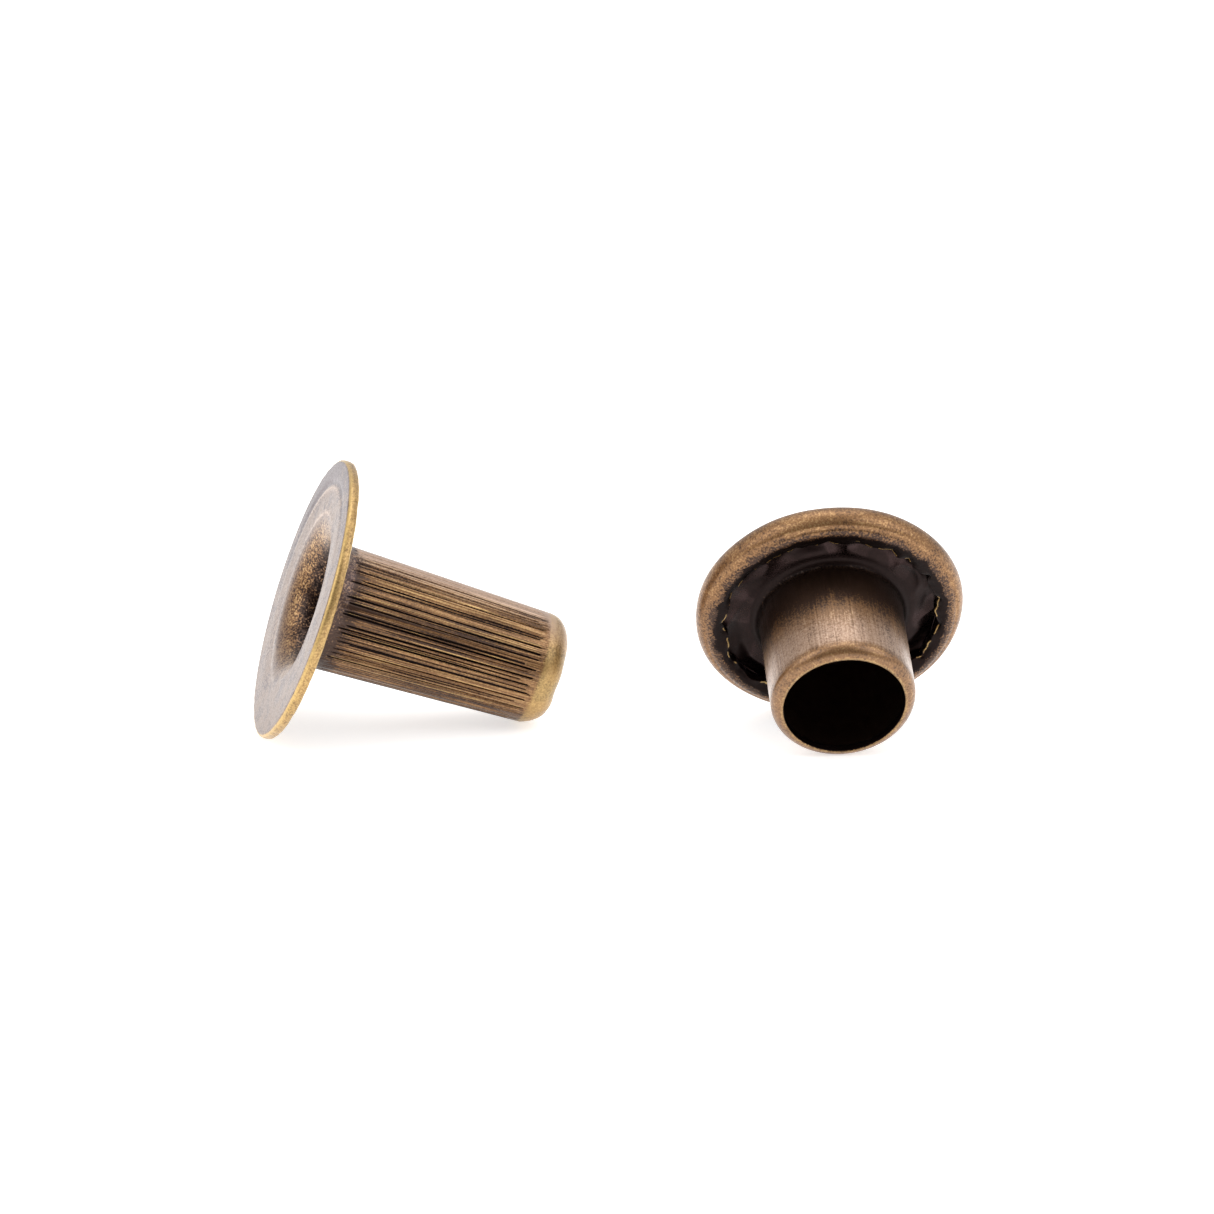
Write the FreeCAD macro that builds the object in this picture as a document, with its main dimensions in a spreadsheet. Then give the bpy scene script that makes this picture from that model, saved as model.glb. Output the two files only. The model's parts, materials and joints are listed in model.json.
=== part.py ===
"""A two-part tubular rivet for leather, its halves loose and lying on a table, in millimetres.

rivet_post   the male half: a flat flange drawn out into a hollow shank with a closed nose
cap_shell    the female half's domed cap, its edge rolled in over the socket's flange
socket_tube  the female half's socket: a flanged tube with its mouth curled in

Each piece is drawn about its own Z axis and then laid on the table, Z = 0. Along that axis
the post starts at its flange's face, and both pieces of the female half at the cap's crown.
"""

import FreeCAD, Part
import Sketcher
import math
import os
import re

V_AXIS, H_AXIS = -2, -1
MATCH = 1e-4

# Every size is a cell of the sheet, whose alias is the name here. Angles are in degrees.
SIZES = {
    # rivet_post
    "flange_radius": 4.43,
    "post_sheet": 0.34,
    "post_length": 8.3,
    "root_radius": 1.98,
    "nose_radius": 1.72,
    "neck_fillet": 0.75,
    "nose_fillet": 0.58,
    "rim_fillet": 0.12,
    # cap_shell
    "cap_radius": 4.12,
    "cap_height": 1.93,
    "cap_sheet": 0.27,
    "roll_radius": 0.54,
    "crimp_radius": 3.28,
    "crimp_drop": 0.05,
    # socket_tube
    "tube_sheet": 0.25,
    "tube_flange_radius": 3.5,
    "tube_radius": 2.21,
    "tube_stand": 3.74,
    "tube_fillet": 0.3,
    "curl_radius": 0.42,
    "curl_turn": 80,
    # how the halves lie
    "post_heading": 7.9,
    "cap_heading": -84.5,
    "cap_ahead": 16.035,
    "cap_aside": 1.7,
}


def make_sheet(doc):
    """The spreadsheet of driving dimensions, one to a row."""
    sheet = doc.addObject("Spreadsheet::Sheet", "Sizes")
    for row, (name, size) in enumerate(SIZES.items(), start=1):
        sheet.set("A%d" % row, name)
        sheet.set("B%d" % row, str(size))
        sheet.setAlias("B%d" % row, name)
    doc.recompute()


def bound(formula):
    """The formula with each size's name pointed at its cell."""
    return re.sub(r"[a-z_]{5,}", lambda word: "Sizes." + word.group(), formula)


def value(body, formula):
    """What a formula of the sheet's sizes comes to."""
    return float(body.evalExpression(bound(formula)))


def origin_plane(body, role):
    return next(part for part in body.Origin.OriginFeatures if part.Role == role)


def arc_between(start, end, radius, turn):
    """An arc of under half a circle, and which of its ends is start. turn is 1 for anticlockwise."""
    chord = end - start
    side = FreeCAD.Vector(-chord.y, chord.x, 0).normalize() * turn
    centre = (start + end) / 2 + side * math.sqrt(radius**2 - (chord.Length / 2) ** 2)
    first, last = (start, end) if turn > 0 else (end, start)
    angles = [math.atan2(p.y - centre.y, p.x - centre.x) for p in (first, last)]
    circle = Part.Circle(centre, FreeCAD.Vector(0, 0, 1), radius)
    return Part.ArcOfCircle(circle, *angles), 1 if turn > 0 else 2


def pin_corner(sketch, segment, end, axis, kind, formula, number):
    """Holds one coordinate of a corner to its formula, or to the axis where it is zero."""
    if formula == "0":
        sketch.addConstraint(Sketcher.Constraint("PointOnObject", segment, end, axis))
        return
    index = sketch.addConstraint(Sketcher.Constraint(kind, segment, end, number))
    sketch.setExpression("Constraints[%d]" % index, bound(formula))


def draw_edge(sketch, start, end, bend):
    """A straight edge, or an arc where bend is its radius and turn. Says which end is start."""
    if not bend:
        sketch.addGeometry(Part.LineSegment(start, end))
        return 1
    arc, first = arc_between(start, end, *bend)
    sketch.addGeometry(arc)
    return first


def draw_section(body, name, corners):
    """A closed half-section on the body's XZ plane, with every corner bound to the sheet.

    A corner is (radius, height). One that starts an arc adds the arc's radius and its turn:
    1 for anticlockwise, -1 for clockwise.
    """
    sketch = body.newObject("Sketcher::SketchObject", name)
    sketch.AttachmentSupport = [(origin_plane(body, "XZ_Plane"), "")]
    sketch.MapMode = "FlatFace"
    points = [FreeCAD.Vector(value(body, c[0]), value(body, c[1]), 0) for c in corners]
    bends = [(value(body, c[2]), c[3]) if len(c) > 2 else () for c in corners]
    following = points[1:] + points[:1]
    starts = [draw_edge(sketch, *edge) for edge in zip(points, following, bends)]
    for index, start in enumerate(starts):
        before = (index - 1) % len(starts)
        join = Sketcher.Constraint("Coincident", before, 3 - starts[before], index, start)
        sketch.addConstraint(join)
        radius, height = corners[index][:2]
        pin_corner(sketch, index, start, V_AXIS, "DistanceX", radius, points[index].x)
        pin_corner(sketch, index, start, H_AXIS, "DistanceY", height, points[index].y)
    for index, bend in enumerate(bends):
        if bend:
            round_off = sketch.addConstraint(Sketcher.Constraint("Radius", index, bend[0]))
            sketch.setExpression("Constraints[%d]" % round_off, bound(corners[index][2]))
    return sketch


def turn_section(body, kind, name, corners):
    """A Revolution, or a Groove, of a half-section about the body's Z axis."""
    sketch = draw_section(body, name + "_section", corners)
    feature = body.newObject("PartDesign::" + kind, name)
    feature.Profile = sketch
    feature.ReferenceAxis = (sketch, ["V_Axis"])
    feature.Angle = 360
    body.Document.recompute()


def ring_edge(shape, radius, height):
    """The name of the circular edge about Z that has this radius and height."""
    for number, edge in enumerate(shape.Edges, start=1):
        curve = edge.Curve
        if not isinstance(curve, Part.Circle):
            continue
        if abs(curve.Radius - radius) < MATCH and abs(curve.Center.z - height) < MATCH:
            return "Edge%d" % number
    raise ValueError("no ring of radius %.3f at height %.3f" % (radius, height))


def round_rings(body, name, size, rings):
    """Fillets circular edges, each given as (radius, height)."""
    base = body.Tip
    found = [ring_edge(base.Shape, value(body, r), value(body, z)) for r, z in rings]
    fillet = body.newObject("PartDesign::Fillet", name)
    fillet.Base = (base, found)
    fillet.setExpression("Radius", bound(size))
    body.Document.recompute()


def new_body(doc, label):
    body = doc.addObject("PartDesign::Body", label)
    body.Label = label
    return body


def make_rivet_post(doc):
    """A flange and a tapering shank, hollowed from the flange's face to one sheet from the nose."""
    body = new_body(doc, "rivet_post")
    blank = [
        ("0", "0"),
        ("flange_radius", "0"),
        ("flange_radius", "post_sheet"),
        ("root_radius", "post_sheet"),
        ("nose_radius", "post_length"),
        ("0", "post_length"),
    ]
    turn_section(body, "Revolution", "blank", blank)
    hollow = [
        ("0", "0"),
        ("root_radius - post_sheet", "0"),
        ("nose_radius - post_sheet", "post_length - post_sheet"),
        ("0", "post_length - post_sheet"),
    ]
    turn_section(body, "Groove", "hollow", hollow)
    round_rings(body, "neck", "neck_fillet", [("root_radius", "post_sheet")])
    round_rings(body, "funnel", "neck_fillet + post_sheet", [("root_radius - post_sheet", "0")])
    round_rings(body, "nose", "nose_fillet", [("nose_radius", "post_length")])
    floor_ring = ("nose_radius - post_sheet", "post_length - post_sheet")
    round_rings(body, "nose_inside", "nose_fillet - post_sheet", [floor_ring])
    rims = [("flange_radius", "0"), ("flange_radius", "post_sheet")]
    round_rings(body, "rim", "rim_fillet", rims)
    return body


def make_cap_shell(doc):
    """A dome whose edge rolls over and in, down to the crimp that holds the socket's flange."""
    body = new_body(doc, "cap_shell")
    roll_centre = ("(cap_radius - roll_radius)", "(cap_height - roll_radius)")
    rise = "(cap_height - 2 * roll_radius)"
    dome = "((%s ^ 2 + %s ^ 2 - roll_radius ^ 2) / (2 * %s))" % (*roll_centre, rise)
    reach = "(%s - roll_radius)" % dome
    meet_out = "%s * %s / %s" % (dome, roll_centre[0], reach)
    meet_up = "%s - %s * (%s - %s) / %s" % (dome, dome, dome, roll_centre[1], reach)
    inner = "(%s - cap_sheet)" % dome
    inner_out = "%s * %s / %s" % (inner, roll_centre[0], reach)
    inner_up = "%s - %s * (%s - %s) / %s" % (dome, inner, dome, roll_centre[1], reach)
    section = [
        ("0", "0", dome, 1),
        (meet_out, meet_up, "roll_radius", 1),
        (roll_centre[0], "cap_height"),
        ("crimp_radius", "cap_height - crimp_drop"),
        ("crimp_radius", "cap_height - crimp_drop - cap_sheet"),
        (roll_centre[0], "cap_height - cap_sheet", "roll_radius - cap_sheet", -1),
        (inner_out, inner_up, inner, -1),
        ("0", "cap_sheet"),
    ]
    turn_section(body, "Revolution", "shell", section)
    return body


def make_socket_tube(doc):
    """A flange that the cap's crimp traps, and a tube whose mouth curls in."""
    body = new_body(doc, "socket_tube")
    flange_top = "cap_height - crimp_drop - cap_sheet"
    flange_under = flange_top + " - tube_sheet"
    curl_base = "cap_height + tube_stand - curl_radius * sin(curl_turn)"
    outer_in = "tube_radius - curl_radius * (1 - cos(curl_turn))"
    inner_in = "tube_radius - curl_radius + (curl_radius - tube_sheet) * cos(curl_turn)"
    inner_up = curl_base + " + (curl_radius - tube_sheet) * sin(curl_turn)"
    section = [
        ("tube_radius - tube_sheet", flange_under),
        ("tube_flange_radius", flange_under),
        ("tube_flange_radius", flange_top),
        ("tube_radius", flange_top),
        ("tube_radius", curl_base, "curl_radius", 1),
        (outer_in, "cap_height + tube_stand"),
        (inner_in, inner_up, "curl_radius - tube_sheet", -1),
        ("tube_radius - tube_sheet", curl_base),
    ]
    turn_section(body, "Revolution", "tube", section)
    round_rings(body, "neck", "tube_fillet", [("tube_radius", flange_top)])
    inside = [("tube_radius - tube_sheet", flange_under)]
    round_rings(body, "neck_inside", "tube_fillet + tube_sheet", inside)
    return body


def lying_tilt(wide, narrow):
    """How far down its axis points, in degrees, when a turned piece lies on two round edges.

    Each edge is (height, radius to the edge's own centre, the edge's own radius).
    """
    run, fall = narrow[0] - wide[0], wide[1] - narrow[1]
    lean = math.asin((wide[2] - narrow[2]) / math.hypot(run, fall))
    return math.degrees(math.atan2(fall, run) + lean)


def lie_down(bodies, heading, tilt, spot):
    """Lays bodies that share an axis down together, their lowest point on the table."""
    upright = FreeCAD.Vector(0, 0, 1)
    aim = FreeCAD.Rotation(FreeCAD.Vector(0, 1, 0), 90 + tilt)
    turn = FreeCAD.Rotation(upright, heading).multiply(aim)
    lowest = math.inf
    for body in bodies:
        body.Placement = FreeCAD.Placement(spot, turn)
        lowest = min(lowest, body.Shape.optimalBoundingBox(False).ZMin)
    for body in bodies:
        body.Placement = FreeCAD.Placement(spot - upright * lowest, turn)


def centre_on_origin(bodies):
    """Moves everything so that the whole stands over the origin."""
    box = FreeCAD.BoundBox()
    for body in bodies:
        box.add(body.Shape.optimalBoundingBox(False))
    shift = FreeCAD.Vector(-box.Center.x, -box.Center.y, -box.ZMin)
    for body in bodies:
        body.Placement.Base = body.Placement.Base + shift


def lay_out(post, cap, socket):
    """Each half lies on its side, on its wide rim and the edge of its narrow end."""
    size = {name: value(post, name) for name in SIZES}
    rim = size["rim_fillet"]
    wide = (size["post_sheet"] - rim, size["flange_radius"] - rim, rim)
    nose = size["nose_fillet"]
    narrow = (size["post_length"] - nose, size["nose_radius"] - nose, nose)
    tilt = lying_tilt(wide, narrow)
    lie_down([post], size["post_heading"], tilt, FreeCAD.Vector())
    roll = size["roll_radius"]
    wide = (size["cap_height"] - roll, size["cap_radius"] - roll, roll)
    curl = size["curl_radius"]
    mouth = size["cap_height"] + size["tube_stand"]
    curl_base = mouth - curl * math.sin(math.radians(size["curl_turn"]))
    narrow = (curl_base, size["tube_radius"] - curl, curl)
    tilt = lying_tilt(wide, narrow)
    spot = FreeCAD.Vector(size["cap_ahead"], size["cap_aside"], 0)
    lie_down([cap, socket], size["cap_heading"], tilt, spot)
    centre_on_origin([post, cap, socket])


def check(doc, bodies):
    """Stops if any object failed or any piece is not one valid solid."""
    for item in doc.Objects:
        if {"Invalid", "Error"} & set(item.State):
            raise RuntimeError("%s failed: %s" % (item.Name, item.State))
    for body in bodies:
        shape = body.Shape
        if shape.isNull() or not shape.isValid() or len(shape.Solids) != 1:
            raise RuntimeError("%s is not one valid solid" % body.Label)


def main():
    doc = FreeCAD.newDocument("rivet")
    make_sheet(doc)
    post = make_rivet_post(doc)
    cap = make_cap_shell(doc)
    socket = make_socket_tube(doc)
    doc.recompute()
    lay_out(post, cap, socket)
    doc.recompute()
    bodies = [post, cap, socket]
    check(doc, bodies)
    os.makedirs("parts", exist_ok=True)
    for body in bodies:
        body.Shape.exportStep("parts/%s.step" % body.Label)
        box = body.Shape.optimalBoundingBox(False)
        print(body.Label, "volume %.3f mm3" % body.Shape.Volume, box)


main()
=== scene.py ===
import bmesh
import bpy
import json
import math
import numpy as np
from mathutils import Matrix, Vector


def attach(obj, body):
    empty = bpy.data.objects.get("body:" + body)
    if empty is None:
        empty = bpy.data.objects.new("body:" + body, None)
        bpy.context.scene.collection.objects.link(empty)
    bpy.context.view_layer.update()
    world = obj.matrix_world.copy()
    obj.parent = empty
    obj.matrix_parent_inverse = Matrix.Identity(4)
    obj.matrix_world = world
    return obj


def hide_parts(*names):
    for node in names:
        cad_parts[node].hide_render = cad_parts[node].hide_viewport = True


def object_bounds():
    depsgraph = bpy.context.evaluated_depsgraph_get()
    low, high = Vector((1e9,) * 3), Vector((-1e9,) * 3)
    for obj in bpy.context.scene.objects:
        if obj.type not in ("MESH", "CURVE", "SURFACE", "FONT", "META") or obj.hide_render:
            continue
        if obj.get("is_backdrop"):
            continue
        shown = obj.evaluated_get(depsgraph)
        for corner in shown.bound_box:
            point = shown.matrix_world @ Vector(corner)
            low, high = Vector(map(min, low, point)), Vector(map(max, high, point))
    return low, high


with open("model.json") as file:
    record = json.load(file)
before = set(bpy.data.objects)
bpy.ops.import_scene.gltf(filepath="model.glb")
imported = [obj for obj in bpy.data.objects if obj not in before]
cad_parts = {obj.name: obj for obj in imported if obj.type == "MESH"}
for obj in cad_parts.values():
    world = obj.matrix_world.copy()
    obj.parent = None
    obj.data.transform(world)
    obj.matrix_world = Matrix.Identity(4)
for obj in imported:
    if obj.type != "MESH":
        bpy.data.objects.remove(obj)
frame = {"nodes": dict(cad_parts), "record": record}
cad_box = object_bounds()

# The looks of a tubular rivet whose two halves lie loose on a table. Each CAD node is replaced
# by a finely meshed skin, turned about the piece's own Z axis, with the marks of its making
# pressed into it: drawn ribs, a ragged crimp, a wrinkled flange. Outlines and marks are in
# millimetres, and rows and columns are the mesh's points along an outline and round the axis.

MM = 0.001
TURN = 2 * math.pi
POST_COLUMNS, CAP_COLUMNS, SOCKET_COLUMNS = 1000, 900, 840
POST_SEED, CAP_SEED, SOCKET_SEED = 11, 23, 37

# rivet_post
NECK_FILLET, NOSE_FILLET, RIM_FILLET = 0.75, 0.68, 0.12
ROOT_RADIUS, NOSE_RADIUS = 1.98, 1.72
CREASE_RADIUS, LIP_RADIUS, THROAT_RADIUS = 3.7, 2.7, 1.7
GROOVE_WIDTH, RIDGE_WIDTH, RIDGE_INSET, CREST_WIDTH = 0.09, 0.1, 0.2, 0.08
DISH_DEPTH, LIP_STEP = 0.03, 0.13
TIP_DENT, TIP_DIMPLE, EDGE_DENT, FACE_DENT = 0.06, 0.05, 0.012, 0.012
RIB_START, RIB_END, RIB_DEPTH = 1.0, 7.38, 0.09
# RIB_SHOULDER is how far beside a strong rib its painted highlight line lies.
RIB_SHOULDER = 0.055
STRONG_RIBS = {"count": 64, "widths": (0.022, 0.036), "depths": (0.6, 1.0), "late": 0.12}
WEAK_RIBS = {"count": 80, "widths": (0.016, 0.024), "depths": (0.35, 0.6), "late": 0.8}
# BRIGHT_LINES are painted highlight lines among the ribs.
BRIGHT_LINES = {"count": 110, "widths": (0.016, 0.026), "depths": (0.3, 1.0), "late": 0.5}
# Places round the post's axis, each an angle and a width in radians. 0 is the side that faces
# the camera and a quarter turn less is the upper side.
WORN_TOP, WORN_LOW = (-1.7, 0.45), (1.15, 0.35)
# SHANK_TOP places a painted sheen, SHANK_FRONT a painted dark reflection, SHANK_LOW painted shade.
SHANK_TOP, SHANK_FRONT, SHANK_LOW = (-1.6, 0.42), (-0.55, 0.3), (1.3, 0.45)
FACE_UPPER, FACE_NEAR, FACE_FAR, FACE_BLURRED = (-2.1, 0.9), (-0.2, 1.2), (2.7, 0.8), (2.2, 0.9)
# NECK_LIGHT places a painted sheen on the neck, NOSE_LIGHT a painted highlight on the nose.
NECK_LIGHT, NOSE_LIGHT = (-1.2, 0.8), (-1.1, 0.5)
# SECTOR_SHIFT turns the shank's darker sectors to where it reflects the dark in front.
SECTOR_SHIFT = 0.45

# cap_shell
ROLL_RADIUS, CRIMP_RADIUS, CRIMP_DROP, CAP_SHEET = 0.54, 3.28, 0.05, 0.27
CRIMP_LOBES, CRIMP_WAVE, CRIMP_DROOP = 19, 0.2, 0.07
BAND_RADIUS, BAND_WIDTH, BAND_DEPTH = 3.86, 0.05, 0.025
CAP_DENT, FRINGE = 0.012, 0.1
# from the outer radius to the inner, where the roll turns dark and then black
DARK_FROM, DARK_FULL, BLACK_FROM, BLACK_FULL = 3.95, 3.6, 3.78, 3.52

# socket_tube
TUBE_SHEET, TUBE_FILLET, CURL_RADIUS, CURL_TURN = 0.25, 0.3, 0.42, 80
WRINKLE_FROM, WRINKLE_FULL, WRINKLE_DEPTH, SCRATCH_DEPTH = 2.5, 3.1, 0.14, 0.007
MOUTH_SLANT, SLANT_LENGTH = 0.2, 1.2
SCRATCHES = {"count": 60, "widths": (0.012, 0.025), "depths": (0.2, 1.0), "late": 1.5}


# ---------------------------------------------------------------- where the CAD pieces are

def mount(name):
    return next(m for m in frame["record"]["mounts"] if m["name"] == name)


def own_frame(node, axis):
    """Where a turned CAD node's own frame is: Z along its axis, the origin at its lower end.

    Also the node's greatest radius and its height along the axis, in millimetres.
    """
    axis = Vector(axis).normalized()
    side = axis.cross(Vector((0, 0, 1))).normalized()
    across = axis.cross(side)
    turn = Matrix((side, across, axis))
    points = np.array([turn @ v.co for v in frame["nodes"][node].data.vertices])
    low, high = points.min(0), points.max(0)
    middle = (low + high) / 2
    base = turn.transposed() @ Vector((middle[0], middle[1], low[2]))
    place = Matrix.Translation(base) @ turn.transposed().to_4x4()
    return place, (high[0] - low[0]) / 2 / MM, (high[2] - low[2]) / MM


# ---------------------------------------------------------------- turned skins

class Outline:
    """A half-section, row by row: radius, height and the zone that the row lies in."""

    def __init__(self, radius, height, zone):
        self.rows = [(radius, height, zone)]

    def line(self, radius, height, rows, zone):
        start_radius, start_height = self.rows[-1][:2]
        for share in np.linspace(0, 1, rows + 1)[1:]:
            r = start_radius + (radius - start_radius) * share
            z = start_height + (height - start_height) * share
            self.rows.append((r, z, zone))

    def arc(self, centre, radius, start, end, rows, zone):
        """From one angle to another, in degrees, where 0 points out and 90 along the axis."""
        for angle in np.radians(np.linspace(start, end, rows + 1)[1:]):
            r = centre[0] + radius * math.cos(angle)
            z = centre[1] + radius * math.sin(angle)
            self.rows.append((r, z, zone))

    def radius(self):
        return np.array([row[0] for row in self.rows])[:, None]

    def height(self):
        return np.array([row[1] for row in self.rows])[:, None]

    def among(self, *zones):
        """1 in rows of these zones and 0 elsewhere."""
        return np.array([float(row[2] in zones) for row in self.rows])[:, None]

    def normals(self, closed):
        """The way out of the metal at each row, as its radial and axial parts."""
        points = np.hstack([self.radius(), self.height()])
        if closed:
            along = np.roll(points, -1, 0) - np.roll(points, 1, 0)
        else:
            along = np.gradient(points, axis=0)
        along /= np.linalg.norm(along, axis=1)[:, None]
        return along[:, 1:], -along[:, :1]


def angles(columns):
    """The angle of each column round the axis."""
    return np.linspace(0, TURN, columns, endpoint=False)[None, :]


def turned(name, place, outline, relief, masks, closed=False, spread=0.0, lift=0.0):
    """A skin of revolution, moved out along its normals by relief, with named point masks.

    spread and lift move it further, away from the axis and along it. An outline that isn't
    closed starts and ends on the axis. The mesh lies at place. For the materials, its attribute
    "own" keeps each point in the piece's own frame, and "wrapped" keeps it on a plain cylinder.
    """
    radius, height = outline.radius(), outline.height()
    out, up = outline.normals(closed)
    columns = relief.shape[1]
    angle = angles(columns)
    radial = radius + out * relief + spread
    axial = height + up * relief + lift
    points = np.stack([radial * np.cos(angle), radial * np.sin(angle), axial], -1) * MM
    count = len(outline.rows)
    index = np.arange(count * columns).reshape(count, columns)
    below, above = index, np.roll(index, -1, 0)
    if not closed:
        below, above = index[1:-2], index[2:-1]
    right_below, right_above = np.roll(below, -1, 1), np.roll(above, -1, 1)
    quads = np.stack([below, right_below, right_above, above], -1).reshape(-1, 4)
    faces = quads.tolist()
    if not closed:
        first, second, third, last = index[0], index[1], index[-2], index[-1]
        start, end = first[0], last[0]
        faces += [[start, b, a] for a, b in zip(second.tolist(), np.roll(second, -1).tolist())]
        faces += [[end, a, b] for a, b in zip(third.tolist(), np.roll(third, -1).tolist())]
    mesh = bpy.data.meshes.new(name)
    mesh.from_pydata(points.reshape(-1, 3).tolist(), [], faces)
    wrapped = np.stack(np.broadcast_arrays(np.cos(angle), np.sin(angle), axial / ROOT_RADIUS), -1)
    for label, places in (("own", points), ("wrapped", wrapped * ROOT_RADIUS * MM)):
        attribute = mesh.attributes.new(label, "FLOAT_VECTOR", "POINT")
        attribute.data.foreach_set("vector", places.astype(np.float32).ravel())
    for mask in MASKS:
        attribute = mesh.attributes.new(mask, "FLOAT", "POINT")
        filled = np.broadcast_to(masks.get(mask, 0.0), radial.shape).astype(np.float32)
        attribute.data.foreach_set("value", filled.ravel())
    if not closed:
        drop_unused(mesh)
    mesh.transform(place)
    mesh.polygons.foreach_set("use_smooth", [True] * len(mesh.polygons))
    mesh.update()
    piece = bpy.data.objects.new(name, mesh)
    bpy.context.scene.collection.objects.link(piece)
    return piece


def drop_unused(mesh):
    """Removes the spare points where a skin closes on its axis."""
    work = bmesh.new()
    work.from_mesh(mesh)
    spare = [v for v in work.verts if not v.link_faces]
    bmesh.ops.delete(work, geom=spare, context="VERTS")
    work.to_mesh(mesh)
    work.free()


def smooth_step(low, high, values):
    share = np.clip((values - low) / (high - low), 0, 1)
    return share * share * (3 - 2 * share)


def peak(values, centre, width):
    """1 at one value, fading to 0 on each side."""
    return np.exp(-(((values - centre) / width) ** 2))


def apart(angle, centre):
    """How far each angle lies from centre, the short way round."""
    return np.angle(np.exp(1j * (angle - centre)))


def around(angle, centre, width):
    """1 at one angle round the axis, fading to 0 on each side."""
    return peak(apart(angle, centre), 0, width)


def layers(*pairs):
    """The sum of fields, each as strong as the number before it."""
    return sum(strength * field for strength, field in pairs)


def scallops(rng, angle, count, shallow, deep):
    """Lobes of uneven width and depth round the axis, meeting in cusps."""
    steps = rng.uniform(0.5, 1.5, count)
    ends = np.concatenate([[0.0], np.cumsum(steps)]) * TURN / steps.sum()
    depths = rng.uniform(shallow, deep, count)
    lobe = np.clip(np.searchsorted(ends, angle, side="right") - 1, 0, count - 1)
    share = (angle - ends[lobe]) / (ends[lobe + 1] - ends[lobe])
    return depths[lobe] * 4 * share * (1 - share)


def ripple(rng, angle, height, strongest, waves, drift=0.6):
    """Soft unevenness from 0 to about 1: a sum of waves round the axis and along it.

    strongest is the most waves that fit once round, and drift is how much they slant.
    """
    total = np.zeros(np.broadcast(angle, height).shape)
    for _ in range(waves):
        turns = rng.integers(1, strongest + 1)
        slant = rng.normal(0, drift)
        total += np.cos(turns * angle + slant * height + rng.uniform(0, TURN))
    return 0.5 + total / (2 * math.sqrt(waves))


# ---------------------------------------------------------------- shader helpers

class Shader:
    """A small wrapper round one material's nodes."""

    def __init__(self, name):
        self.material = bpy.data.materials.new(name)
        self.material.use_nodes = True
        self.tree = self.material.node_tree
        self.surface = self.tree.nodes["Principled BSDF"]

    def add(self, kind, **settings):
        node = self.tree.nodes.new(kind)
        for key, setting in settings.items():
            setattr(node, key, setting)
        return node

    def feed(self, socket, source):
        if isinstance(source, bpy.types.NodeSocket):
            self.tree.links.new(source, socket)
        else:
            socket.default_value = source

    def mask(self, name):
        return self.add("ShaderNodeAttribute", attribute_name=name).outputs["Fac"]

    def grain(self, size, detail=3.0, stretch=1.0, roughness=0.55, places="own"):
        """Noise whose features are about size millimetres across, stretched along the axis."""
        mapping = self.add("ShaderNodeMapping")
        point = self.add("ShaderNodeAttribute", attribute_name=places)
        self.feed(mapping.inputs["Vector"], point.outputs["Vector"])
        across = 1 / (size * MM)
        mapping.inputs["Scale"].default_value = (across, across, across / stretch)
        noise = self.add("ShaderNodeTexNoise")
        self.feed(noise.inputs["Vector"], mapping.outputs["Vector"])
        noise.inputs["Scale"].default_value = 1.0
        noise.inputs["Detail"].default_value = detail
        noise.inputs["Roughness"].default_value = roughness
        return noise.outputs["Fac"]

    def span(self, source, low, high, to_low=0.0, to_high=1.0):
        """Values from low to high, taken smoothly to the range from to_low to to_high."""
        node = self.add("ShaderNodeMapRange", interpolation_type="SMOOTHSTEP")
        self.feed(node.inputs["Value"], source)
        node.inputs["From Min"].default_value = low
        node.inputs["From Max"].default_value = high
        node.inputs["To Min"].default_value = to_low
        node.inputs["To Max"].default_value = to_high
        return node.outputs["Result"]

    def math(self, operation, first, second):
        node = self.add("ShaderNodeMath", operation=operation)
        self.feed(node.inputs[0], first)
        self.feed(node.inputs[1], second)
        return node.outputs["Value"]

    def mix(self, share, first, second):
        node = self.add("ShaderNodeMix", data_type="RGBA")
        self.feed(node.inputs["Factor"], share)
        self.feed(node.inputs[6], first)
        self.feed(node.inputs[7], second)
        return node.outputs[2]


def srgb(red, green, blue):
    """A colour as seen, 0 to 255, in the linear light that shaders take."""
    parts = [c / 255 for c in (red, green, blue)]
    return (*[c / 12.92 if c < 0.04045 else ((c + 0.055) / 1.055) ** 2.4 for c in parts], 1.0)


# ---------------------------------------------------------------- materials

# The black and dark colours also paint shade; pale, gold and grey also paint highlights and sheen.
BLACK = srgb(30, 20, 18)
LACQUER = srgb(52, 39, 38)
DARK_PATINA_AND_SHADE = srgb(66, 46, 35)
BRONZE = srgb(137, 100, 65)
LIGHT_BRONZE = srgb(186, 147, 101)
GOLD = srgb(208, 175, 112)
PALE = srgb(190, 162, 142)
GREY_BROWN = srgb(132, 111, 98)
PURPLE_GREY = srgb(97, 80, 83)
BUMP_DEPTH = 0.008 * MM
MASKS = ("drawn", "smooth", "dark", "black", "gloss", "rubbed", "grey", "pale")


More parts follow.
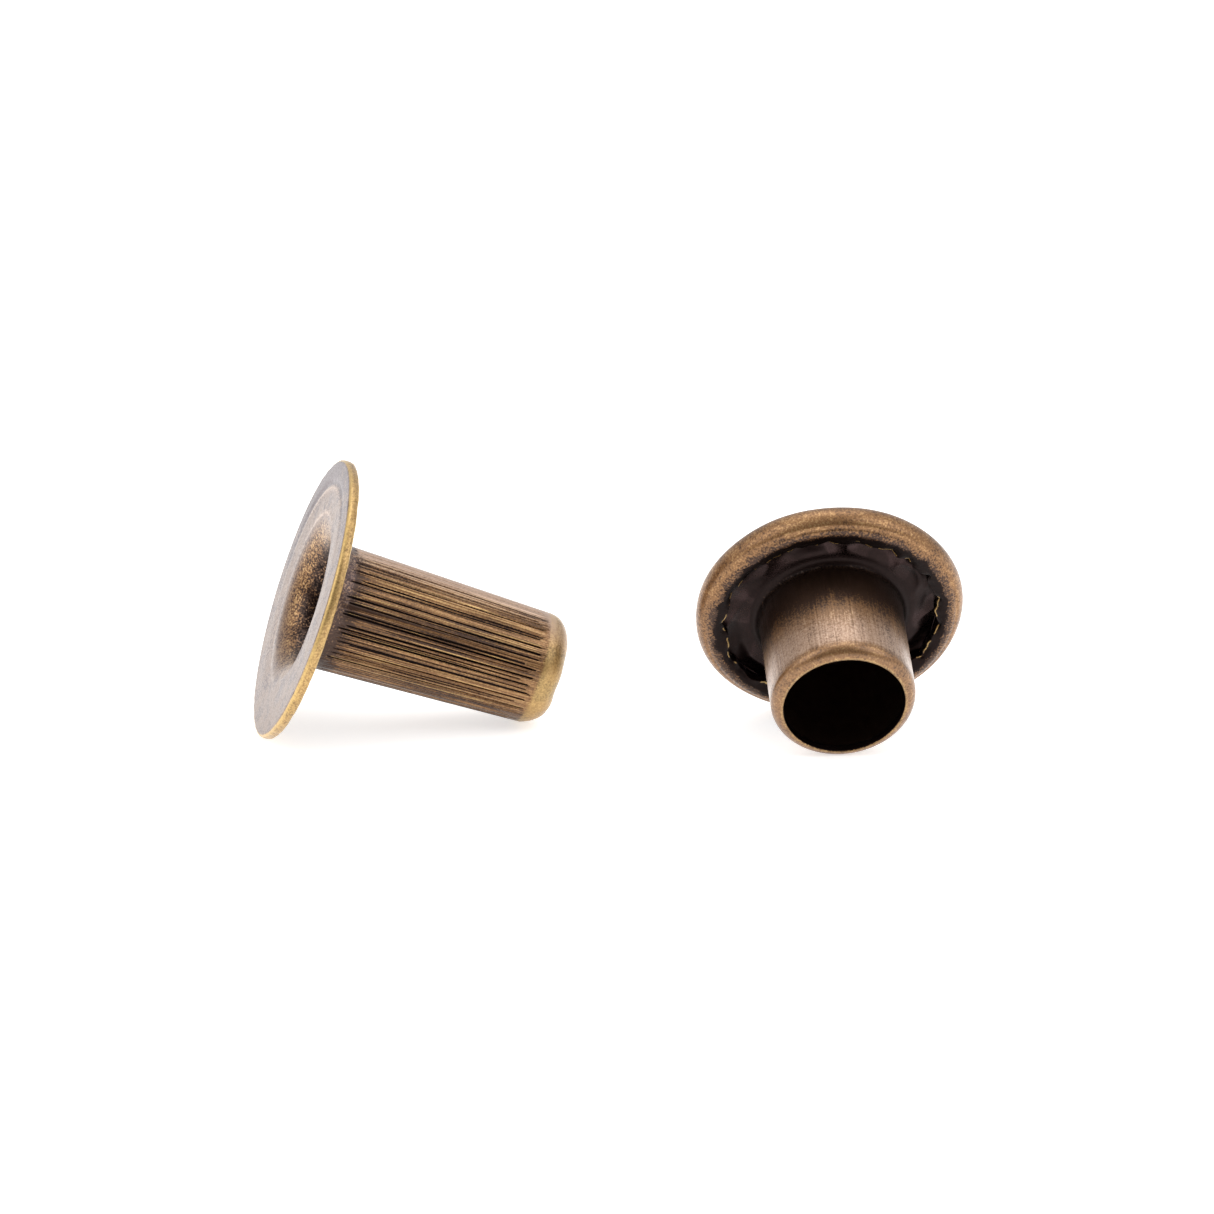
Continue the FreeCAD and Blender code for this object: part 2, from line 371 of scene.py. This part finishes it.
def antique_brass(name, coat=0.45):
    """Worn brass: brown patina speckled with gold, black in its hollows, rubbed at its edges.

    Each mask says how much of that finish a point has, and noise breaks up its edges. drawn
    turns the speckle into lines along the axis, smooth weakens it, or strengthens it where
    below 0, and gloss is a thick lacquer. coat is the clear coat's weight outside the hollows.
    The same finishes also lay painted shade, painted highlights and painted sheen.
    """
    s = Shader(name)
    drawn, smooth, gloss = s.mask("drawn"), s.mask("smooth"), s.mask("gloss")
    dark = s.mask("dark")

    # noise: specks, lines where the metal is drawn, and the patches that they lie in
    fine = s.span(s.grain(0.06, detail=2.0), 0.3, 0.7, -0.25, 0.25)
    coarse = s.span(s.grain(0.15, detail=2.0), 0.3, 0.7, -0.1, 0.1)
    patches = s.grain(0.7, detail=3.0, stretch=3.0)
    lines = s.span(
        s.grain(0.03, detail=1.0, stretch=120.0, places="wrapped"), 0.36, 0.64, -0.3, 0.3
    )
    speckle = s.math("MULTIPLY", s.math("ADD", fine, coarse), s.span(drawn, 0.0, 1.0, 1.0, 0.5))
    speckle = s.math("MULTIPLY", speckle, s.math("SUBTRACT", 1.0, smooth))
    flecks = s.math("ADD", speckle, s.math("MULTIPLY", lines, drawn))

    # the brass under its patina, which the dark mask also darkens as painted shade
    level = s.math("ADD", flecks, s.span(patches, 0.3, 0.7, 0.38, 0.62))
    level = s.math("SUBTRACT", level, s.math("MULTIPLY", dark, 0.8))
    colour = s.mix(s.span(level, 0.0, 0.5), DARK_PATINA_AND_SHADE, BRONZE)
    colour = s.mix(s.span(level, 0.5, 1.0), colour, LIGHT_BRONZE)

    # the grey film, which on the neck's upper side is a painted sheen
    mottled = s.math("ADD", s.math("MULTIPLY", flecks, 0.5), patches)
    mottled = s.math("SUBTRACT", mottled, s.math("MULTIPLY", dark, 0.3))
    film_and_sheen = s.mix(s.span(mottled, 0.3, 0.55), PURPLE_GREY, GREY_BROWN)
    grey = s.math("MULTIPLY", s.mask("grey"), s.span(flecks, -0.4, 0.4, 0.7, 1.0))
    colour = s.mix(grey, colour, film_and_sheen)

    # wear with painted sheen and highlights, then black hollows with painted shade, then lacquer
    pale = s.math("ADD", s.mask("pale"), s.math("MULTIPLY", flecks, 0.7))
    colour = s.mix(s.span(pale, 0.2, 1.0), colour, PALE)
    rubbed = s.math("ADD", s.mask("rubbed"), s.math("MULTIPLY", flecks, 0.5))
    colour = s.mix(s.span(rubbed, 0.2, 1.0), colour, GOLD)
    black = s.math("ADD", s.mask("black"), s.math("MULTIPLY", speckle, -0.8))
    black = s.span(black, 0.3, 0.75)
    colour = s.mix(black, colour, BLACK)
    lacquer = s.math("MULTIPLY", gloss, s.span(patches, 0.4, 0.6, 0.3, 1.0))
    colour = s.mix(lacquer, colour, LACQUER)

    dull = s.span(flecks, -0.4, 0.4, 0.53, 0.37)
    dull = s.math("SUBTRACT", dull, s.math("MULTIPLY", gloss, 0.15))
    bump = s.add("ShaderNodeBump")
    bump.inputs["Strength"].default_value = 0.4
    bump.inputs["Distance"].default_value = BUMP_DEPTH
    s.feed(bump.inputs["Height"], s.math("MULTIPLY", flecks, s.span(gloss, 0.0, 1.0, 1.0, 0.1)))
    s.surface.inputs["Metallic"].default_value = 1.0
    s.surface.inputs["Coat Roughness"].default_value = 0.25
    s.feed(s.surface.inputs["Base Color"], colour)
    s.feed(s.surface.inputs["Roughness"], dull)
    s.feed(s.surface.inputs["Coat Weight"], s.span(black, 0.0, 1.0, coat, 0.1))
    s.feed(s.surface.inputs["Normal"], bump.outputs["Normal"])
    return s.material


# ---------------------------------------------------------------- the post

def post_outline(flange, sheet, length):
    """From the inside of the nose, out through the funnel, round the rim and back to the nose."""
    floor = length - sheet
    slope = (ROOT_RADIUS - NOSE_RADIUS) / floor
    lean = math.degrees(math.atan(slope))
    cosine = math.cos(math.radians(lean))
    # the centres of the fillets, and the radii of their inner sides
    neck = (ROOT_RADIUS - slope * NECK_FILLET + NECK_FILLET / cosine, sheet + NECK_FILLET)
    nose = (NOSE_RADIUS + slope * NOSE_FILLET - NOSE_FILLET / cosine, length - NOSE_FILLET)
    rim = flange - RIM_FILLET
    funnel = NECK_FILLET + sheet
    corner = NOSE_FILLET - sheet
    outline = Outline(0, floor, "inside")
    outline.line(nose[0], floor, 2, "inside")
    outline.arc(nose, corner, 90, lean, 4, "inside")
    start = math.radians(180 + lean)
    top = (neck[0] + funnel * math.cos(start), neck[1] + funnel * math.sin(start))
    outline.line(*top, 4, "inside")
    outline.arc(neck, funnel, 180 + lean, 270, 20, "funnel")
    outline.line(rim, 0, 18, "face")
    outline.arc((rim, RIM_FILLET), RIM_FILLET, -90, 0, 3, "rim")
    outline.line(flange, sheet - RIM_FILLET, 1, "edge")
    outline.arc((rim, sheet - RIM_FILLET), RIM_FILLET, 0, 90, 3, "rim")
    outline.line(neck[0], sheet, 2, "back")
    outline.arc(neck, NECK_FILLET, 270, 180 + lean, 11, "neck")
    start = math.radians(lean)
    shoulder = (nose[0] + NOSE_FILLET * math.cos(start), nose[1] + NOSE_FILLET * math.sin(start))
    # rows lie closer where the ribs begin and end
    for level, rows in ((RIB_START + 0.6, 4), (RIB_END - 0.48, 6)):
        outline.line(ROOT_RADIUS - slope * (level - sheet), level, rows, "shank")
    outline.line(*shoulder, 8, "shank")
    outline.arc(nose, NOSE_FILLET, lean, 90, 9, "nose")
    outline.line(0, length, 4, "nose")
    return outline


def drawn_lines(rng, angle, height, count, widths, depths, late):
    """Fine lines along the axis, of uneven width, depth and length. 1 is the deepest.

    late is how far, on average, a line starts after RIB_START and stops before RIB_END.
    """
    waver, fade_in, fade_out = 0.0015, 0.15, 0.08
    lines = np.zeros(np.broadcast(angle, height).shape)
    for number in range(count):
        width = rng.uniform(*widths)
        depth = rng.uniform(*depths)
        centre = (number + rng.uniform(-0.6, 0.6)) * TURN / count
        centre = centre + rng.normal(0, waver) * (height - RIB_START)
        start = RIB_START + rng.exponential(late)
        end = RIB_END - rng.exponential(late)
        fade = smooth_step(start - fade_in, start + fade_in, height)
        fade = fade * (1 - smooth_step(end - fade_out, end + fade_out, height))
        wave = 0.9 + 0.1 * np.sin(rng.uniform(0.6, 2.5) * height + rng.uniform(0, TURN))
        away = apart(angle, centre) * ROOT_RADIUS
        lines = np.maximum(lines, depth * wave * fade * peak(away, 0, width))
    return lines


def post_fields(rng, outline, angle, sheet, length):
    """Where each mark on the post is, from 0 to about 1, and its relief in millimetres."""
    radius, height = outline.radius(), outline.height()
    shank, neck = outline.among("shank"), outline.among("neck")
    face, funnel = outline.among("face"), outline.among("funnel")
    nose_zone, edge = outline.among("nose"), outline.among("edge", "rim")
    ribbed = outline.among("shank", "neck")

    # ribs, and painted highlight lines: one beside each strong rib, for which the same seed draws
    # the strong ribs again a little to one side, and more drawn loose. Both are fainter where the
    # shank is worn.
    worn = layers((0.75, around(angle, *WORN_TOP)), (0.5, around(angle, *WORN_LOW)))
    strong = drawn_lines(rng, angle, height, **STRONG_RIBS)
    again = np.random.default_rng(POST_SEED)
    beside = drawn_lines(again, angle + RIB_SHOULDER / ROOT_RADIUS, height, **STRONG_RIBS)
    weak = drawn_lines(rng, angle, height, **WEAK_RIBS)
    ribs = np.maximum(strong, weak) * ribbed * (1 - worn)
    bright = drawn_lines(rng, angle, height, **BRIGHT_LINES)
    bright = np.maximum(0.7 * bright, smooth_step(0.6, 1.0, beside)) * ribbed * (1 - worn)

    # the flange's face: a crease and a ridge round its upper side, and the funnel's lip
    upper = around(angle, *FACE_UPPER)
    groove = peak(radius, CREASE_RADIUS, GROOVE_WIDTH) * upper
    ridge = peak(radius, CREASE_RADIUS - RIDGE_INSET, RIDGE_WIDTH) * upper
    # crest: where a painted highlight runs round the lip's upper side
    crest = peak(radius, LIP_RADIUS, CREST_WIDTH) * upper
    bevel = 1 - smooth_step(LIP_RADIUS, CREASE_RADIUS - 0.1, radius)
    lip = funnel * smooth_step(-LIP_RADIUS, -LIP_RADIUS + 0.2, -radius)
    lip = lip * smooth_step(THROAT_RADIUS, LIP_RADIUS - 0.2, radius) * around(angle, *FACE_NEAR)
    dish = layers(
        (1.5, face * groove), (-0.5, face * ridge), (1, face * bevel),
        (1, funnel * smooth_step(THROAT_RADIUS, LIP_RADIUS, radius)),
    )

    # the nose: rubbed from where the ribs end, dented, with a dimple on the axis
    uneven = ripple(rng, angle, height, 7, 12)
    nose = outline.among("nose", "shank") * smooth_step(RIB_END - 0.05, RIB_END + 0.2, height)
    tip = nose_zone * smooth_step(RIB_END, length, height)
    dents = 0.5 + (uneven - 0.5) * smooth_step(0, 0.9, radius)
    dimple = nose_zone * (1 - smooth_step(0.1, 1.1, radius))

    relief = -layers(
        (RIB_DEPTH, ribs), (DISH_DEPTH, dish), (LIP_STEP, lip),
        (TIP_DENT, tip * dents), (TIP_DIMPLE, dimple),
        (EDGE_DENT, edge * ripple(rng, angle, height, 60, 20)),
        (FACE_DENT, face * ripple(rng, angle, 2 * radius, 9, 14, 1.2)),
    )
    blurred = 0.4 * around(angle, *FACE_BLURRED)
    return {
        "relief": np.minimum(relief, 0),
        "shank": shank, "neck": neck, "face": face, "funnel": funnel, "edge": edge,
        "inside": outline.among("inside"), "back": outline.among("back"),
        "ribs": ribs, "bright": bright,
        "upper": upper, "groove": groove, "ridge": ridge, "crest": crest, "bevel": bevel,
        "uneven": uneven, "nose": nose,
        # sectors: a painted reflection of the dark in front, broken up at random
        "sectors": smooth_step(0.5, 0.9, ripple(rng, angle + SECTOR_SHIFT, 0.2 * height, 6, 9)),
        "granular": funnel * smooth_step(-LIP_RADIUS - 0.02, -LIP_RADIUS + 0.55 + blurred, -radius),
        # deep and throat: where painted shade lies down the funnel
        "deep": funnel * smooth_step(0.22, 0.62, height),
        "throat": funnel * smooth_step(0.25, 0.8, height),
        "outer": face * smooth_step(CREASE_RADIUS - 0.15, CREASE_RADIUS + 0.05, radius) * upper,
        "stain": face * (1 - smooth_step(LIP_RADIUS, LIP_RADIUS + 0.8, radius)),
        # corner: thin painted highlights along the edge's two corners
        "corner": peak(height, 0.03, 0.035) + peak(height, sheet, 0.04),
        "drawn": shank * smooth_step(1.0, 1.5, height) * (1 - nose),
        "near_neck": shank * (1 - smooth_step(1.0, 1.9, height)),
        "near_root": shank * smooth_step(-7, -2, -height),
    }


def post_masks(angle, f):
    """The finish of each point of the post, from its fields."""
    nose_light = around(angle, *NOSE_LIGHT)
    neck_light = around(angle, *NECK_LIGHT)
    # black inside the hollow post and down the throat is painted shade; in the rib grooves,
    # blackened metal
    black = layers((1, smooth_step(0.3, 0.45, f["ribs"])), (1.2, f["inside"]), (0.6, f["throat"]))
    return {
        "drawn": f["drawn"],
        "black": np.clip(black, 0, 1),
        "smooth": layers(
            (0.5, f["nose"]), (0.1, f["edge"]), (-0.9, f["granular"]), (-0.6, f["neck"])
        ),
        "dark": layers(
            # the neck, less dark on its upper side where a painted sheen lies
            (1, f["neck"] * (1 - 0.5 * neck_light)),
            (0.75, f["near_neck"]),
            (0.3, f["back"]),
            # painted shade on the shank's underside
            (0.25, f["shank"] * around(angle, *SHANK_LOW)),
            # darker sectors round the shank: a painted reflection of the dark in front
            (0.12, f["shank"] * f["sectors"]),
            # a painted reflection of the dark in front, near the flange
            (0.15, f["near_root"] * around(angle, *SHANK_FRONT)),
            # painted shade on the funnel's far wall
            (0.9, f["deep"]),
            # painted shade in the crease round the face's upper side
            (0.5, f["face"] * f["groove"]),
            (1, f["outer"]),
            # painted shade in the nose's deepest dents
            (0.5, f["nose"] * smooth_step(0.5, 1, f["uneven"])),
        ),
        "rubbed": layers(
            # the edge rubbed, with painted highlights at its corners
            (1, f["edge"] * (0.6 + 0.4 * f["corner"])),
            # the nose rubbed, a little less where its painted highlight lies
            (1, f["nose"] * (0.6 - 0.15 * nose_light)),
            # painted highlight lines beside the ribs
            (0.85, f["bright"]),
            (0.2, f["granular"] * (1 - f["deep"])),
        ),
        "grey": layers(
            (1, f["face"]), (1, f["funnel"]), (-1, f["granular"]),
            (-0.4, f["stain"] * around(angle, *FACE_FAR)),
            (0.6, f["back"]),
            # a painted sheen of grey on the neck's upper side
            (0.8, f["neck"] * neck_light),
        ),
        "pale": layers(
            # painted highlights on the ridge, on the bevel's upper side and on the funnel's lip
            (0.8, f["face"] * f["ridge"]),
            (0.3, f["face"] * f["bevel"] * f["upper"]),
            (0.9, (f["face"] + f["funnel"]) * f["crest"]),
            # a painted sheen along the shank's upper side
            (0.95, f["shank"] * around(angle, *SHANK_TOP)),
            # a painted highlight on the nose's upper side
            (0.6, f["nose"] * nose_light),
        ),
    }


def make_post():
    rng = np.random.default_rng(POST_SEED)
    place, flange, length = own_frame("rivet_post", mount("post_flange_back")["axis"])
    face, back = [Vector(mount("post_flange_" + side)["pos_m"]) for side in ("face", "back")]
    sheet = (back - face).length / MM
    outline = post_outline(flange, sheet, length)
    angle = angles(POST_COLUMNS)
    fields = post_fields(rng, outline, angle, sheet, length)
    piece = turned("post_drawn", place, outline, fields["relief"], post_masks(angle, fields))
    piece.data.materials.append(antique_brass("brass_post"))
    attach(piece, "post")
    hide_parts("rivet_post")


# ---------------------------------------------------------------- the cap and its socket

def cap_outline(radius, height):
    """From the crown, round the roll and the crimp's edge, and back inside the dome."""
    roll = (radius - ROLL_RADIUS, height - ROLL_RADIUS)
    rise = height - 2 * ROLL_RADIUS
    dome = (roll[0] ** 2 + roll[1] ** 2 - ROLL_RADIUS ** 2) / (2 * rise)
    meet = math.degrees(math.atan2(dome - roll[1], roll[0]))
    outline = Outline(0, 0, "dome")
    outline.arc((0, dome), dome, -90, -meet, 30, "dome")
    outline.arc(roll, ROLL_RADIUS, -meet, 90, 30, "roll")
    outline.line(CRIMP_RADIUS, height - CRIMP_DROP, 12, "crimp")
    outline.line(CRIMP_RADIUS, height - CRIMP_DROP - CAP_SHEET, 5, "cut")
    outline.line(roll[0], height - CAP_SHEET, 4, "under")
    outline.arc(roll, ROLL_RADIUS - CAP_SHEET, 90, -meet, 10, "under")
    outline.arc((0, dome), dome - CAP_SHEET, -meet, -90, 14, "under")
    return outline


def make_cap(place, radius, height):
    rng = np.random.default_rng(CAP_SEED)
    outline = cap_outline(radius, height)
    out, along = outline.radius(), outline.height()
    angle = angles(CAP_COLUMNS)
    dome, roll, crimp = outline.among("dome"), outline.among("roll"), outline.among("crimp")
    rim = outline.among("roll", "crimp")

    # the crimp's edge: lobes that meet in cusps, and a droop
    lobes = scallops(rng, angle, CRIMP_LOBES, 0.2, 1.0)
    lobes = lobes + 0.2 * ripple(rng, angle, 0 * along, 60, 12)
    ragged = smooth_step(-CRIMP_RADIUS - 0.2, -CRIMP_RADIUS, -out) * outline.among("crimp", "cut")
    droop = ripple(rng, angle, 0 * along, 22, 14)

    # soft dents, none on the axis, and a shallow band round the roll's upper side
    dents = 0.5 + (ripple(rng, angle, 2 * along, 9, 14) - 0.5) * smooth_step(0.3, 2.5, out)
    band = roll * peak(out, BAND_RADIUS, BAND_WIDTH) * (along > radius / 4)
    relief = -layers((CAP_DENT, dents * outline.among("roll", "dome")), (BAND_DEPTH, band))

    # black from the roll's inner side to the edge, which is bright in places
    fringe = FRINGE * ripple(rng, angle, 0 * along, 40, 20)
    inner = smooth_step(-BLACK_FROM, -BLACK_FULL, -out - fringe) * rim
    bright = smooth_step(0.46, 0.64, ripple(rng, angle, 0 * along, 60, 16))
    bright = bright * crimp * smooth_step(-CRIMP_RADIUS - 0.06, -CRIMP_RADIUS - 0.02, -out)
    masks = {
        "black": np.clip(inner + outline.among("cut"), 0, 1) * (1 - bright),
        "smooth": 0.55 * dome,
        "dark": layers(
            (1, outline.among("under")),
            (0.1, dome),
            (0.6, rim * smooth_step(-DARK_FROM, -DARK_FULL, -out)),
        ),
        "rubbed": 0.75 * bright,
    }
    piece = turned(
        "cap_pressed", place, outline, relief, masks,
        spread=-CRIMP_WAVE * (lobes - 0.5) * ragged, lift=-CRIMP_DROOP * droop * ragged,
    )
    piece.data.materials.append(antique_brass("brass_cap"))
    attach(piece, "cap_half")
    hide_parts("cap_shell")


def tube_outline(flange, tube, cap_height, mouth):
    """The flange's underside and edge, then up the tube's outside, over the curl and back."""
    top = cap_height - CRIMP_DROP - CAP_SHEET
    under = top - TUBE_SHEET
    turn = math.radians(CURL_TURN)
    curl = (tube - CURL_RADIUS, mouth - CURL_RADIUS * math.sin(turn))
    outline = Outline(tube + TUBE_FILLET, under, "under")
    outline.line(flange, under, 6, "under")
    outline.line(flange, top, 3, "flange")
    outline.line(tube + TUBE_FILLET, top, 18, "flange")
    outline.arc((tube + TUBE_FILLET, top + TUBE_FILLET), TUBE_FILLET, 270, 180, 8, "base")
    outline.line(tube, curl[1], 40, "tube")
    outline.arc(curl, CURL_RADIUS, 0, CURL_TURN, 12, "curl")
    inner, fillet = CURL_RADIUS - TUBE_SHEET, TUBE_FILLET + TUBE_SHEET
    lip = (curl[0] + inner * math.cos(turn), curl[1] + inner * math.sin(turn))
    outline.line(*lip, 4, "lip")
    outline.arc(curl, inner, CURL_TURN, 0, 5, "bore")
    outline.line(tube - TUBE_SHEET, under + fillet, 10, "bore")
    outline.arc((tube + TUBE_FILLET, under + fillet), fillet, 180, 270, 8, "bore")
    outline.rows.pop()  # the last row would be the first again
    return outline


def make_socket(place, cap_height):
    rng = np.random.default_rng(SOCKET_SEED)
    socket = mount("socket_outside")
    tube_place, flange, tall = own_frame("socket_tube", socket["axis"])
    base = (tube_place.translation - place.translation).dot(Vector(socket["axis"])) / MM
    top, mouth = cap_height - CRIMP_DROP - CAP_SHEET, base + tall
    outline = tube_outline(flange, socket["dims"]["r_mm"], cap_height, mouth)
    out, along = outline.radius(), outline.height()
    angle = angles(SOCKET_COLUMNS)
    lacquered, tube, curl = (outline.among(zone) for zone in ("flange", "tube", "curl"))
    wall = outline.among("tube", "curl")

    wrinkles = np.abs(ripple(rng, angle, 2 * out, 7, 12, 1.2) - 0.5) * 2
    wrinkles = wrinkles + 0.4 * np.abs(ripple(rng, angle, 2 * out, 15, 12, 2.0) - 0.5)
    wrinkles = wrinkles * lacquered * smooth_step(WRINKLE_FROM, WRINKLE_FULL, out)
    scratches = drawn_lines(rng, angle, along, **SCRATCHES) * tube
    relief = -layers((WRINKLE_DEPTH, wrinkles), (SCRATCH_DEPTH, scratches))

    worn = smooth_step(top + 1.3, mouth - 1.0, along)
    worn = worn * (1 - smooth_step(mouth - 0.7, mouth - 0.3, along))
    blotches = smooth_step(0.4, 0.6, ripple(rng, angle, 2 * out, 9, 14, 1.6))
    foot = outline.among("base") * (1 - 0.6 * smooth_step(top, top + TUBE_FILLET, along))
    # brink: a painted highlight line round the mouth's edge
    brink = smooth_step(mouth - 0.03, mouth - 0.01, along)
    masks = {
        "drawn": 0.3 * tube,
        "smooth": 0.25 * wall,
        "black": layers((1.3, lacquered + outline.among("lip")), (1, foot)),
        "gloss": lacquered * (0.3 + 0.7 * blotches),
        "dark": layers(
            (1, outline.among("base", "bore", "under")),
            (1.2, wall * (1 - smooth_step(top + 0.3, top + 2.4, along))),
        ),
        # the curl rubbed, with a painted highlight line at its brink
        "rubbed": curl * (0.2 + 0.25 * brink),
        "pale": 0.6 * wall * worn,
    }
    # the mouth lies back at its upper side
    slant = smooth_step(mouth - SLANT_LENGTH, mouth, along) * (1 - np.sin(angle)) / 2
    piece = turned(
        "socket_drawn", place, outline, relief, masks, closed=True, lift=-MOUTH_SLANT * slant
    )
    piece.data.materials.append(antique_brass("brass_socket", coat=0.8))
    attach(piece, "cap_half")
    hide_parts("socket_tube")


# ---------------------------------------------------------------- floor, light and camera

AIM_BACK = 12.2 * MM
CAMERA_DISTANCE = 0.22
CAMERA_RISE = math.radians(18)
CAMERA_LENS = 201.2
FLOOR_REACH, FLOOR_GLOW = 1.5, 0.6
# how bright the tent is in front and behind, and where along Y it starts and stops changing
TENT_FRONT, TENT_BACK = 0.12, 0.85
TENT_START, TENT_STOP = -0.95, -0.2
BOX_DISTANCE, BOX_SIZE, BOX_RADIANCE = 0.4, 0.3, 1.5


def make_camera():
    """The photographer's place: in front, looking down a little, through a long lens."""
    data = bpy.data.cameras.new("camera")
    data.lens = CAMERA_LENS
    data.clip_start = 0.01
    data.clip_end = 10
    camera = bpy.data.objects.new("camera", data)
    back = Vector((0, -math.cos(CAMERA_RISE), math.sin(CAMERA_RISE)))
    camera.location = Vector((0, AIM_BACK, 0)) + back * CAMERA_DISTANCE
    camera.rotation_euler = (math.pi / 2 - CAMERA_RISE, 0, 0)
    bpy.context.scene.collection.objects.link(camera)
    bpy.context.scene.camera = camera


def make_floor():
    mesh = bpy.data.meshes.new("floor")
    r = FLOOR_REACH
    corners = [(-r, -r, 0), (r, -r, 0), (r, r, 0), (-r, r, 0)]
    mesh.from_pydata(corners, [], [(0, 1, 2, 3)])
    floor = bpy.data.objects.new("floor", mesh)
    bpy.context.scene.collection.objects.link(floor)
    s = Shader("pale_floor")
    s.surface.inputs["Base Color"].default_value = (0.93, 0.93, 0.93, 1)
    s.surface.inputs["Roughness"].default_value = 0.9
    s.surface.inputs["Specular IOR Level"].default_value = 0.2
    s.surface.inputs["Emission Color"].default_value = (1, 1, 1, 1)
    s.surface.inputs["Emission Strength"].default_value = FLOOR_GLOW
    mesh.materials.append(s.material)
    floor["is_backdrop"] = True


def softbox(name, azimuth, elevation):
    """A square area light that faces the origin. 0, 0 is in front and level with it."""
    data = bpy.data.lights.new(name, "AREA")
    data.shape = "SQUARE"
    data.size = BOX_SIZE
    data.energy = BOX_RADIANCE * math.pi * BOX_SIZE ** 2
    light = bpy.data.objects.new(name, data)
    a, e = math.radians(azimuth), math.radians(elevation)
    back = Vector((math.sin(a) * math.cos(e), -math.cos(a) * math.cos(e), math.sin(e)))
    light.location = back * BOX_DISTANCE
    light.rotation_euler = back.to_track_quat("Z", "Y").to_euler()
    bpy.context.scene.collection.objects.link(light)


def make_light():
    """A white tent round the table, darker in front, with a soft light on each side."""
    world = bpy.data.worlds.new("studio")
    world.use_nodes = True
    tree = world.node_tree
    direction = tree.nodes.new("ShaderNodeTexCoord").outputs["Generated"]
    split = tree.nodes.new("ShaderNodeSeparateXYZ")
    tree.links.new(direction, split.inputs["Vector"])
    tent = tree.nodes.new("ShaderNodeMapRange")
    tent.interpolation_type = "SMOOTHSTEP"
    tree.links.new(split.outputs["Y"], tent.inputs["Value"])
    tent.inputs["From Min"].default_value = TENT_START
    tent.inputs["From Max"].default_value = TENT_STOP
    tent.inputs["To Min"].default_value = TENT_FRONT
    tent.inputs["To Max"].default_value = TENT_BACK
    tree.links.new(tent.outputs["Result"], tree.nodes["Background"].inputs["Strength"])
    bpy.context.scene.world = world
    tree.nodes["Background"].inputs["Color"].default_value = (1, 1, 1, 1)
    softbox("left", -60, 40)
    softbox("right", 65, 40)
    softbox("top", 180, 75)
    bpy.context.scene.view_settings.view_transform = "Standard"


make_camera()
make_floor()
make_light()
make_post()
cap_place, cap_radius, cap_height = own_frame("cap_shell", mount("cap_rim")["axis"])
make_cap(cap_place, cap_radius, cap_height)
make_socket(cap_place, cap_height)

boxes = {"cad": cad_box, "visual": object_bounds()}
boxes = {name: [list(corner) for corner in box] for name, box in boxes.items()}
